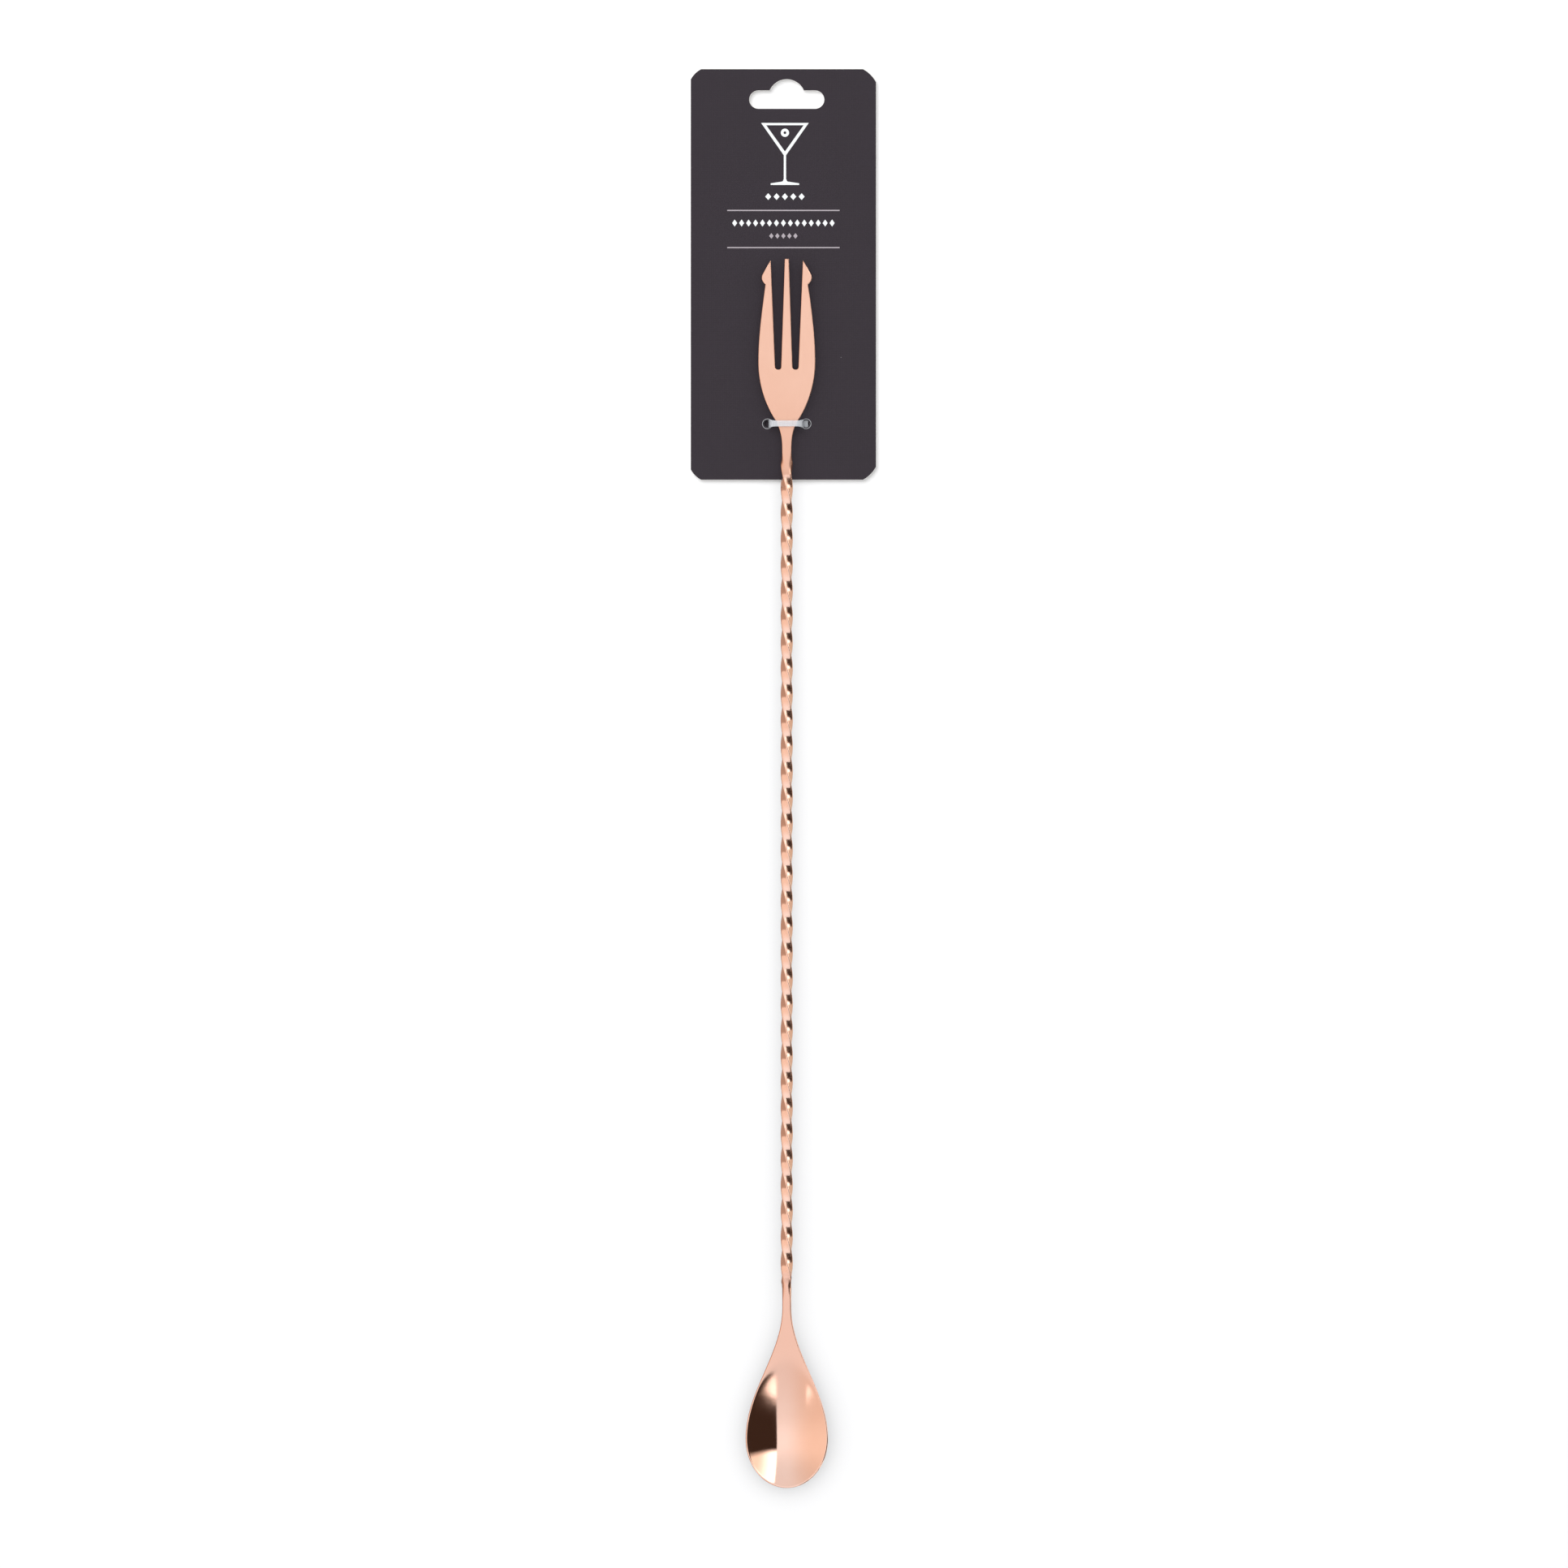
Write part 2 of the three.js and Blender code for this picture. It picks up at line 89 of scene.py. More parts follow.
def cubic(start, control_a, control_b, end, steps):
    """Points of a cubic curve, without its first one."""
    corners = [Vector((x, y, 0)) for x, y in (start, control_a, control_b, end)]
    return [(p.x, p.y) for p in interpolate_bezier(*corners, steps + 1)][1:]


def quadratic(start, control, end, steps):
    """Points of a quadratic curve, without its first one."""
    control_a = [lerp(s, c, 2 / 3) for s, c in zip(start, control)]
    control_b = [lerp(e, c, 2 / 3) for e, c in zip(end, control)]
    return cubic(start, control_a, control_b, end, steps)


def arc(centre, radius, start_degrees, end_degrees, steps):
    """Points along a circular arc, with both ends."""
    points = []
    for i in range(steps + 1):
        angle = math.radians(lerp(start_degrees, end_degrees, i / steps))
        points.append((centre[0] + radius * math.cos(angle), centre[1] + radius * math.sin(angle)))
    return points


def circle(centre, radius, count):
    """A closed circle of count points."""
    return arc(centre, radius, 0, 360 - 360 / count, count - 1)


def rectangle(x, y, half_width, half_length):
    """Corners of a rectangle centred on (x, y)."""
    return [
        (x - half_width, y - half_length),
        (x + half_width, y - half_length),
        (x + half_width, y + half_length),
        (x - half_width, y + half_length),
    ]


def piece_from(name, mesh, body, materials, replaced=()):
    """Puts a finished mesh in the scene as a piece that rides on a body."""
    for made in materials:
        mesh.materials.append(made)
    piece = bpy.data.objects.new(name, mesh)
    bpy.context.scene.collection.objects.link(piece)
    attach(piece, body)
    if replaced:
        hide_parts(*replaced)
    return piece


def finish_mesh(name, bm, smooth=True):
    """Turns a bmesh in millimetres into a mesh in metres."""
    bmesh.ops.recalc_face_normals(bm, faces=bm.faces)
    bmesh.ops.scale(bm, vec=(MM, MM, MM), verts=bm.verts)
    for face in bm.faces:
        face.smooth = smooth
    mesh = bpy.data.meshes.new(name)
    bm.to_mesh(mesh)
    bm.free()
    return mesh


def loft(rings):
    """A closed tube through rings of equally many points, with sharp-edged flat ends."""
    bm = bmesh.new()
    rows = [[bm.verts.new(point) for point in ring] for ring in rings]
    count = len(rows[0])
    for row, following in zip(rows, rows[1:]):
        for i in range(count):
            j = (i + 1) % count
            bm.faces.new((row[i], row[j], following[j], following[i]))
    for row in (rows[0], rows[-1]):
        cap = bm.faces.new(row)
        for edge in cap.edges:
            edge.smooth = False
    return bm


def lies_at(edge, level):
    """Whether an edge lies along y = level."""
    return max(abs(vert.co.y - level) for vert in edge.verts) < SAME_PLACE


def is_rim(edge, plain_level):
    """Whether an edge lies along a plate's upper or lower outline, away from the plain level."""
    start, end = (vert.co for vert in edge.verts)
    if edge.calc_face_angle(0) < RIM_ANGLE or abs(start.z - end.z) > SAME_PLACE:
        return False
    return plain_level is None or not lies_at(edge, plain_level)


def join_into(bm, other):
    """Moves another bmesh's faces into bm."""
    carrier = bpy.data.meshes.new("carrier")
    other.to_mesh(carrier)
    other.free()
    bm.from_mesh(carrier)
    bpy.data.meshes.remove(carrier)


def plate(loops, bottom, top, edge_radius, edge_steps=3, plain_level=None):
    """A flat plate filled between closed outlines, with rounded edges except along y = plain_level."""
    bm = bmesh.new()
    edges = []
    for loop in loops:
        verts = [bm.verts.new((x, y, bottom)) for x, y in loop]
        edges += [bm.edges.new((a, b)) for a, b in zip(verts, verts[1:] + verts[:1])]
    bmesh.ops.triangle_fill(bm, use_beauty=True, edges=edges)
    bmesh.ops.dissolve_limit(bm, angle_limit=0.01, verts=bm.verts, edges=bm.edges, delimit={"NORMAL"})
    raised = bmesh.ops.extrude_face_region(bm, geom=bm.faces[:])["geom"]
    moved = [item for item in raised if isinstance(item, bmesh.types.BMVert)]
    bmesh.ops.translate(bm, vec=(0, 0, top - bottom), verts=moved)
    bmesh.ops.recalc_face_normals(bm, faces=bm.faces)
    if edge_radius > 0:
        rim = [edge for edge in bm.edges if is_rim(edge, plain_level)]
        bmesh.ops.bevel(bm, geom=rim, offset=edge_radius, segments=edge_steps, profile=0.5,
                        affect="EDGES", clamp_overlap=True)
    return bm


# ---------------------------------------------------------------- material helpers


class Nodes:
    """Short ways to add and join the nodes of a tree."""

    def __init__(self, tree):
        self.tree = tree

    def add(self, kind, **settings):
        made = self.tree.nodes.new(kind)
        for key, value in settings.items():
            setattr(made, key, value)
        return made

    def join(self, value, socket):
        """Links an output to a socket, or sets the socket to a plain value."""
        if isinstance(value, bpy.types.NodeSocket):
            self.tree.links.new(value, socket)
        else:
            socket.default_value = value

    def math(self, operation, a, b, clamp=False):
        made = self.add("ShaderNodeMath", operation=operation, use_clamp=clamp)
        for socket, value in zip(made.inputs, (a, b)):
            self.join(value, socket)
        return made.outputs[0]

    def rise(self, value, low, high):
        """0 below low and 1 above high, with a smooth rise between."""
        made = self.add("ShaderNodeMapRange", interpolation_type="SMOOTHSTEP")
        self.join(value, made.inputs["Value"])
        made.inputs["From Min"].default_value = low
        made.inputs["From Max"].default_value = high
        return made.outputs["Result"]

    def fall(self, value, low, high):
        """1 below low and 0 above high, with a smooth fall between."""
        return self.math("SUBTRACT", 1.0, self.rise(value, low, high))

    def mix(self, factor, a, b):
        """Colour or grey a where the factor is 0, and b where it is 1."""
        made = self.add("ShaderNodeMix", data_type="RGBA")
        for socket, value in ((0, factor), (6, a), (7, b)):
            self.join(value, made.inputs[socket])
        return made.outputs[2]


class Shader(Nodes):
    """A material's nodes. Texture coordinates are in millimetres."""

    def __init__(self, name):
        self.material = bpy.data.materials.new(name)
        self.material.use_nodes = True
        super().__init__(self.material.node_tree)
        self.surface = self.tree.nodes["Principled BSDF"]
        position = self.add("ShaderNodeTexCoord").outputs["Object"]
        self.coordinates = self.scaled(position, (1 / MM, 1 / MM, 1 / MM))

    def scaled(self, vector, factors):
        made = self.add("ShaderNodeVectorMath", operation="MULTIPLY")
        self.join(vector, made.inputs[0])
        made.inputs[1].default_value = factors
        return made.outputs[0]

    def noise(self, size, detail, stretch=(1, 1, 1), distortion=0.0):
        """Noise with features of about size millimetres."""
        made = self.add("ShaderNodeTexNoise")
        self.join(self.scaled(self.coordinates, [s / size for s in stretch]), made.inputs["Vector"])
        made.inputs["Scale"].default_value = 1
        made.inputs["Detail"].default_value = detail
        made.inputs["Distortion"].default_value = distortion
        return made.outputs["Fac"]

    def dots(self, pitch, radius):
        """1 inside scattered dots, about one in each cube of pitch millimetres, and 0 elsewhere."""
        made = self.add("ShaderNodeTexVoronoi", feature="F1")
        self.join(self.scaled(self.coordinates, [1 / pitch] * 3), made.inputs["Vector"])
        made.inputs["Scale"].default_value = 1
        inside = self.math("SUBTRACT", radius / pitch, made.outputs["Distance"])
        edge_steepness = 3
        return self.math("MULTIPLY", inside, pitch / radius * edge_steepness, clamp=True)

    def waves(self, pitch, direction, distortion):
        """Parallel bands, pitch millimetres apart."""
        made = self.add("ShaderNodeTexWave", bands_direction=direction)
        self.join(self.scaled(self.coordinates, [1 / pitch] * 3), made.inputs["Vector"])
        made.inputs["Scale"].default_value = 0.314  # one band for each unit of the scaled coordinates
        made.inputs["Distortion"].default_value = distortion
        made.inputs["Detail"].default_value = 1
        return made.outputs["Fac"]

    def along_spoon(self):
        """Place along the spoon's length, in millimetres."""
        parts = self.add("ShaderNodeSeparateXYZ")
        self.join(self.coordinates, parts.inputs[0])
        return parts.outputs["Y"]

    def ramp(self, value, low, high):
        """The 0 to 1 value stretched to run from low to high."""
        made = self.add("ShaderNodeMapRange")
        self.join(value, made.inputs["Value"])
        made.inputs["To Min"].default_value = low
        made.inputs["To Max"].default_value = high
        return made.outputs["Result"]

    def bump(self, height, depth, below=None):
        """A bump of depth millimetres, on top of another bump."""
        made = self.add("ShaderNodeBump")
        made.inputs["Distance"].default_value = depth * MM
        self.join(height, made.inputs["Height"])
        if below is not None:
            self.join(below, made.inputs["Normal"])
        return made.outputs["Normal"]

    def set(self, **values):
        """Sets or links the surface's sockets. An underscore in a name stands for a space."""
        for key, value in values.items():
            self.join(value, self.surface.inputs[key.replace("_", " ")])
        return self.material


def colour(red, green, blue):
    return (red, green, blue, 1)


# ---------------------------------------------------------------- materials


def satin_copper():
    """Copper plate brushed along the spoon, with a faint cloudiness and a few handling marks."""
    shader = Shader("satin_copper")
    clouds = shader.noise(9, detail=4)
    brushing = shader.noise(0.16, detail=5, stretch=(1, 0.02, 1))
    tone = shader.mix(clouds, colour(0.85, 0.49, 0.35), colour(0.9, 0.545, 0.405))
    past_neck = shader.rise(shader.along_spoon(), FORK_WELD + 6, FORK_WELD + 34)
    tone = shader.mix(past_neck, colour(0.82, 0.46, 0.325), tone)
    marks = shader.rise(shader.noise(2.2, detail=6, stretch=(1, 0.15, 1)), 0.66, 0.74)
    tone = shader.mix(shader.math("MULTIPLY", marks, 0.12), tone, colour(0.8, 0.42, 0.3))
    rough = shader.ramp(brushing, 0.25, 0.4)
    normal = shader.bump(brushing, 0.008)
    return shader.set(Base_Color=tone, Metallic=1.0, Roughness=rough, Normal=normal)


def polished_copper(name, roughness_low, roughness_high, pit_radius):
    """Polished copper plate with orange peel, hair scratches and pits. It turns satin at both necks."""
    shader = Shader(name)
    clouds = shader.noise(7, detail=4)
    tone = shader.mix(clouds, colour(0.91, 0.56, 0.43), colour(0.95, 0.62, 0.49))
    pits = shader.dots(3.1, pit_radius)
    tone = shader.mix(shader.math("MULTIPLY", pits, 0.55), tone, colour(0.3, 0.13, 0.08))
    above_bowl = shader.rise(shader.along_spoon(), BOWL_WELD - 56, BOWL_WELD - 20)
    below_stem = shader.fall(shader.along_spoon(), BOWL_WELD - 1, BOWL_WELD + 3)
    fork_end = shader.rise(shader.along_spoon(), FORK_WELD - 6, FORK_WELD)
    neck = shader.math("MULTIPLY", above_bowl, below_stem)
    neck = shader.math("MAXIMUM", neck, shader.math("MULTIPLY", fork_end, 0.5))
    tone = shader.mix(shader.math("MULTIPLY", neck, 0.85), tone, colour(0.8, 0.45, 0.33))
    rough = shader.ramp(shader.noise(1.6, detail=5), roughness_low, roughness_high)
    rough = shader.math("ADD", rough, shader.math("MULTIPLY", neck, 0.16))
    peel = shader.bump(shader.noise(1.9, detail=2), 0.0035)
    scratches = shader.noise(0.12, detail=3, stretch=(1, 0.05, 1), distortion=0.4)
    hair = shader.bump(shader.rise(scratches, 0.62, 0.72), 0.0006, peel)
    return shader.set(Base_Color=tone, Metallic=1.0, Roughness=rough, Normal=hair)


def linen_sheet():
    """Dark printed cover paper embossed with a fine linen weave, with a few pale specks."""
    shader = Shader("linen_sheet")
    warp = shader.waves(0.42, "X", 1.2)
    weft = shader.waves(0.42, "Y", 1.2)
    weave = shader.math("MULTIPLY", warp, weft)
    clouds = shader.noise(14, detail=5)
    tone = shader.mix(clouds, colour(0.024, 0.0185, 0.024), colour(0.03, 0.0235, 0.0305))
    tone = shader.mix(shader.math("MULTIPLY", weave, 0.35), tone, colour(0.04, 0.032, 0.041))
    specks = shader.dots(9, 0.16)
    tone = shader.mix(shader.math("MULTIPLY", specks, 0.5), tone, colour(0.35, 0.33, 0.35))
    fibre = shader.bump(shader.noise(0.25, detail=4), 0.006)
    cloth = shader.bump(weave, 0.014, fibre)
    rough = shader.ramp(clouds, 0.62, 0.72)
    return shader.set(Base_Color=tone, Roughness=rough, Specular_IOR_Level=0.3, Normal=cloth)


def board_edge():
    """White board cut through: pressed layers of fibre."""
    shader = Shader("white_board")
    layers = shader.noise(0.5, detail=5, stretch=(0.4, 0.4, 4))
    tone = shader.mix(layers, colour(0.8, 0.785, 0.76), colour(0.9, 0.89, 0.87))
    normal = shader.bump(layers, 0.03)
    return shader.set(Base_Color=tone, Roughness=0.9, Specular_IOR_Level=0.2, Normal=normal)


def ink(name, low, high):
    """Opaque print that lets a little of the paper's tooth through."""
    shader = Shader(name)
    tooth = shader.noise(0.3, detail=4)
    tone = shader.mix(tooth, low, high)
    normal = shader.bump(tooth, 0.005)
    return shader.set(Base_Color=tone, Roughness=0.55, Specular_IOR_Level=0.3, Normal=normal)


def clear_plastic():
    """Clear moulded plastic, a little milky, with faint flow lines."""
    shader = Shader("clear_plastic")
    flow = shader.noise(0.7, detail=3, stretch=(1, 0.3, 1))
    tone = shader.mix(flow, colour(0.84, 0.88, 0.95), colour(0.95, 0.97, 1.0))
    rough = shader.ramp(flow, 0.06, 0.14)
    cloudy = shader.ramp(flow, 0.34, 0.48)
    normal = shader.bump(flow, 0.01)
    return shader.set(Base_Color=tone, Roughness=rough, IOR=1.49, Alpha=cloudy, Normal=normal)


SATIN = satin_copper()
STEM_COPPER = polished_copper("polished_copper_stem", 0.12, 0.26, 0.13)
BOWL_COPPER = polished_copper("polished_copper_bowl", 0.035, 0.075, 0.05)
LINEN = linen_sheet()
BOARD = board_edge()
WHITE_INK = ink("white_ink", colour(0.76, 0.79, 0.8), colour(0.9, 0.92, 0.92))
GREY_INK = ink("grey_ink", colour(0.36, 0.32, 0.35), colour(0.44, 0.4, 0.43))
PLASTIC = clear_plastic()
TORN_PAPER = ink("torn_paper", colour(0.3, 0.3, 0.32), colour(0.46, 0.46, 0.48))


# ---------------------------------------------------------------- twisted bar

QUARTER_TURNS = 31
STEM_LENGTH = FORK_WELD - BOWL_WELD
QUARTER_PITCH = STEM_LENGTH / QUARTER_TURNS
RATE = math.pi / 2 / QUARTER_PITCH
TANG_HALF_HEIGHT = 1.0  # the bar's pressed end at the fork
NECK_HALF_HEIGHT = 1.32  # and at the bowl
PRESS_REACH = 2.6  # the press takes hold over this much on both sides of a weld
BAR_SHARPNESS = 8  # how little the bar's corners are rounded


def bar_turn(y):
    """How far the bar has turned at y. It turns on past each weld, until it stands on its corner."""
    distance = FORK_WELD - y
    return RATE * min(max(distance, -QUARTER_PITCH / 2), STEM_LENGTH + QUARTER_PITCH / 2)


def bar_faces(y):
    """The bar's four faces at y, each as its direction and 1 / distance from the axis."""
    turn = bar_turn(y)
    return [(math.pi / 2 * side - turn, 1 / BAR_HALF) for side in range(4)]


def pressed_bar(y):
    """The bar's faces at y, and the flats pressed above and below near each of its ends."""
    faces = bar_faces(y)
    for past_weld, half_height in ((y - FORK_WELD, TANG_HALF_HEIGHT), (BOWL_WELD - y, NECK_HALF_HEIGHT)):
        closeness = smoothstep(past_weld, -PRESS_REACH, PRESS_REACH) / half_height
        faces += [(math.pi / 2, closeness), (-math.pi / 2, closeness)]
    return faces


def section_radius(angle, faces, sharpness):
    """Distance from the axis to a rounded polygon, in a direction. A higher sharpness rounds it less."""
    total = 0
    for facing, closeness in faces:
        total += (max(math.cos(angle - facing), 0) * closeness) ** sharpness
    return total ** (-1 / sharpness)


def section_point(y, angle, radius):
    return (AXIS_X + radius * math.cos(angle), y, AXIS_Z + radius * math.sin(angle))


def make_stem():
    """The twisted bar between its welds. Its rings turn with it, so that its corners run along edges."""
    steps_per_quarter = 18
    steps = QUARTER_TURNS * steps_per_quarter
    count = 72
    rings = []
    for i in range(steps + 1):
        y = lerp(FORK_WELD, BOWL_WELD, i / steps)
        ring = []
        for j in range(count):
            angle = 2 * math.pi * j / count - RATE * (FORK_WELD - y)
            ring.append(section_point(y, angle, section_radius(angle, pressed_bar(y), BAR_SHARPNESS)))
        rings.append(ring)
    mesh = finish_mesh("stem", loft(rings))
    return piece_from("stem", mesh, "spoon", [STEM_COPPER], ["twisted_stem"])


# ---------------------------------------------------------------- fork

TANG_LENGTH = 8  # the bar's pressed end, above the weld
TANG_HALF_WIDTH = 1.5
PLATE_HALF_HEIGHT = 0.8
SHOULDER_FOOT = (3.45, FORK_WELD + 17.4)


def neck_half_width(y):
    """Half-width of the fork's neck, from the tang up to the foot of its shoulders."""
    along = (y - FORK_WELD - TANG_LENGTH) / (SHOULDER_FOOT[1] - FORK_WELD - TANG_LENGTH)
    return lerp(TANG_HALF_WIDTH, SHOULDER_FOOT[0], max(along, 0) ** 2.6)


def fork_outline(start):
    """Right half of the plate's outline, from the level start to the middle tine's tip, about the axis."""
    tip = fork_high.y
    widest = ((fork_high.x - fork_low.x) / 2, FORK_WELD + 36.8)
    barb_root = (6.95, tip - 8.3)
    barb = (8.1, tip - 5.7)
    outer_tip = (5.24, tip - 0.4)
    slot_bottom = tip - 36
    slot_outer = 3.8
    slot_inner = 1.84
    slot_middle = ((slot_outer + slot_inner) / 2, slot_bottom)
    slot_corner = 0.9  # the slot's round bottom starts this far above it
    middle_tip = (0.66, tip)

    points = [(neck_half_width(start), start), SHOULDER_FOOT]
    points += cubic(SHOULDER_FOOT, (7.3, FORK_WELD + 23.2), (widest[0], widest[1] - 7), widest, 26)
    barb_aim = (barb_root[0] + 1.4, barb_root[1] - 10)
    points += cubic(widest, (widest[0], widest[1] + 7.5), barb_aim, barb_root, 24)
    points += quadratic(barb_root, (barb[0] + 0.3, barb_root[1] + 1.2), barb, 8)
    slant_start = (barb[0] - 0.5, barb[1] + 1.2)
    points += quadratic(barb, (barb[0] - 0.1, barb[1] + 0.6), slant_start, 5)
    points.append(outer_tip)
    wall_foot = (slot_outer, slot_bottom + slot_corner)
    points.append(wall_foot)
    points += quadratic(wall_foot, (slot_outer, slot_bottom), slot_middle, 6)
    inner_foot = (slot_inner, slot_bottom + slot_corner)
    points += quadratic(slot_middle, (slot_inner, slot_bottom), inner_foot, 6)
    points.append(middle_tip)
    return points


def fork_neck_radius(y, angle):
    """The fork's neck: the bar on its corner, pressed into the thin plate of the fork."""
    above_weld = y - FORK_WELD
    thinned = smoothstep(above_weld, 4, TANG_LENGTH + 7)
    flat = lerp(1 / TANG_HALF_HEIGHT, 1 / PLATE_HALF_HEIGHT, thinned)
    side = 1 / neck_half_width(y)
    blade = [(math.pi / 2, flat), (-math.pi / 2, flat), (0, side), (math.pi, side)]
    sharpness = lerp(12, 26, thinned)
    bladed = smoothstep(above_weld, 3, TANG_LENGTH)
    pressed = section_radius(angle, pressed_bar(y), BAR_SHARPNESS)
    return lerp(pressed, section_radius(angle, blade, sharpness), bladed)


def make_fork():
    """The fork's plate, and the neck that joins it to the bar, in one mesh."""
    seam = TIE_LEVEL  # the plate and its neck meet below the tie
    right = fork_outline(seam)
    left = [(-x, y) for x, y in reversed(right)]
    outline = [(AXIS_X + x, y) for x, y in right + left]
    bottom = AXIS_Z - PLATE_HALF_HEIGHT
    top = AXIS_Z + PLATE_HALF_HEIGHT
    bm = plate([outline], bottom, top, edge_radius=0.24, edge_steps=4, plain_level=seam)
    for edge in bm.edges:
        if lies_at(edge, seam):
            edge.smooth = False  # or the end wall would tilt the shading of the plate's faces

    count = 120
    steps = 90
    rings = []  # their points move towards the sides as the neck grows flat
    for i in range(steps + 1):
        y = lerp(FORK_WELD, seam, i / steps)
        flatness = lerp(1, PLATE_HALF_HEIGHT / neck_half_width(seam), i / steps)
        ring = []
        for j in range(count):
            turn = 2 * math.pi * j / count
            angle = math.atan2(flatness * math.sin(turn), math.cos(turn))
            ring.append(section_point(y, angle, fork_neck_radius(y, angle)))
        rings.append(ring)
    join_into(bm, loft(rings))
    piece = piece_from("fork", finish_mesh("fork", bm), "spoon", [SATIN], ["trident"])
    flats = piece.modifiers.new("flats", "WEIGHTED_NORMAL")  # keeps the plate's large faces looking flat
    flats.keep_sharp = True
    return piece


# ---------------------------------------------------------------- bowl

BOWL_HALF_WIDTH = (bowl_high.x - bowl_low.x) / 2
BOWL_TIP_LENGTH = 16
BOWL_WIDEST = bowl_low.y + BOWL_TIP_LENGTH
SHOULDER_LENGTH = 43
NECK_HALF_WIDTH = 1.43
NECK_LENGTH = 9.5
NECK_FOOT = BOWL_WELD - NECK_LENGTH
RIM_LAND = 0.5  # width of the flat rim
RIM_WALL = 1.0
RIM_Z = bowl_high.z
HOLLOW_FLOOR = 1.15  # wall thickness at the bottom of the hollow
RIM_RADIUS = 0.38
NECK_THINNING = 24  # length over which the neck thins from the bar to the bowl's wall
NECK_SIDE = 1.72  # half the width between the neck's pressed-in sides


def width_squared(y, half_width, tip_length):
    """Square of the bowl's half-width at y. It goes below zero past the tip."""
    beyond = BOWL_WIDEST - y
    if beyond > 0:
        return half_width**2 * (1 - (beyond / tip_length) ** 2)
    shoulder = math.cos(math.pi / 2 * min(-beyond / SHOULDER_LENGTH, 1)) ** 2
    neck = NECK_HALF_WIDTH - (BOWL_HALF_WIDTH - half_width)
    return (neck + (half_width - neck) * shoulder) ** 2


def hollow_height(x, y):
    """Height of the bowl's upper side: the flat rim, softly falling into the hollow."""
    half_width = BOWL_HALF_WIDTH - RIM_LAND
    deepest = RIM_Z - HOLLOW_FLOOR
    across = width_squared(y, half_width, BOWL_TIP_LENGTH - RIM_LAND) - x * x
    run_out_start = BOWL_WIDEST + 13
    run_out = 0.0056 * max(y - run_out_start, 0) ** 2  # the hollow ends short of the neck
    depth = deepest * across / half_width**2 - run_out
    softness = lerp(0.06, 0.8, smoothstep(y, BOWL_WIDEST + 8, BOWL_WIDEST + 26))
    return RIM_Z - (depth + math.sqrt(depth * depth + softness * softness)) / 2


def underside_height(x, y):
    """Height of the bowl's outer side, thickening to the square bar at the neck."""
    thick = smoothstep(y, BOWL_WELD - NECK_THINNING, BOWL_WELD - 1)
    wall = lerp(RIM_WALL, 2 * BAR_HALF, thick)
    belly = width_squared(y, BOWL_HALF_WIDTH, BOWL_TIP_LENGTH) - x * x
    depth = (RIM_Z - RIM_WALL) * belly / BOWL_HALF_WIDTH**2
    return RIM_Z - wall - max(depth, 0) * (1 - thick)


def bowl_rib(edge, spine):
    """Points from the spine out over the hollow, round the rim and back along the underside."""
    reach = edge - spine
    length = reach.length
    inward = -reach / length
    across_steps = 30
    corner_steps = 4
    crowding = 1.6  # points lie closer together towards the rim
    upper = []
    lower = []
    for i in range(across_steps):
        t = i / across_steps
        inset = RIM_RADIUS + (length - RIM_RADIUS) * (1 - t) ** crowding
        point = edge + inward * inset
        upper.append((point.x, point.y, hollow_height(point.x, point.y)))
        lower.append((point.x, point.y, underside_height(point.x, point.y)))
    rim = []
    for i in range(corner_steps + 1):
        turn = math.pi / 2 * i / corner_steps
        point = edge + inward * RIM_RADIUS * (1 - math.sin(turn))
        drop = RIM_RADIUS * (1 - math.cos(turn))
        rim.append((point.x, point.y, hollow_height(point.x, point.y) - drop))
    for i in range(corner_steps + 1):
        turn = math.pi / 2 * i / corner_steps
        point = edge + inward * RIM_RADIUS * (1 - math.cos(turn))
        rise = RIM_RADIUS * (1 - math.sin(turn))
        rim.append((point.x, point.y, underside_height(point.x, point.y) + rise))
    return upper + rim + lower[::-1]


def bowl_ribs():
    """Ribs of the right half, from the tip to the neck's foot."""
    tip_steps = 44
    shoulder_steps = 84
    ribs = []
    for i in range(tip_steps):
        turn = math.pi / 2 * i / tip_steps
        edge = Vector((BOWL_HALF_WIDTH * math.sin(turn), BOWL_WIDEST - BOWL_TIP_LENGTH * math.cos(turn)))
        ribs.append(bowl_rib(edge, Vector((0, BOWL_WIDEST))))
    for i in range(shoulder_steps + 1):
        y = lerp(BOWL_WIDEST, NECK_FOOT, i / shoulder_steps)
        half = math.sqrt(width_squared(y, BOWL_HALF_WIDTH, BOWL_TIP_LENGTH))
        ribs.append(bowl_rib(Vector((half, y)), Vector((0, y))))
    return ribs


def neck_faces(y):
    """Faces of the bowl's neck at y: the bar, turning onto its corner, pressed flat above and below."""
    side = smoothstep(BOWL_WELD - y, 0, 3) / NECK_SIDE
    return pressed_bar(y) + [(0, side), (math.pi, side)]


def neck_rows(foot, side):
    """Rows of points from the neck's foot, whose own points are given, up to the weld."""
    steps = 50
    polar = [(math.atan2(z - AXIS_Z, side * x), math.hypot(x, z - AXIS_Z)) for x, _, z in foot]
    rows = []
    for i in range(1, steps + 1):
        y = lerp(NECK_FOOT, BOWL_WELD, i / steps)
        blend = smoothstep(BOWL_WELD - y, 3, NECK_LENGTH)
        row = []
        for angle, radius in polar:
            pressed = section_radius(angle, neck_faces(y), BAR_SHARPNESS)
            row.append(section_point(y, angle, lerp(pressed, radius, blend)))
        rows.append(row)
    return rows


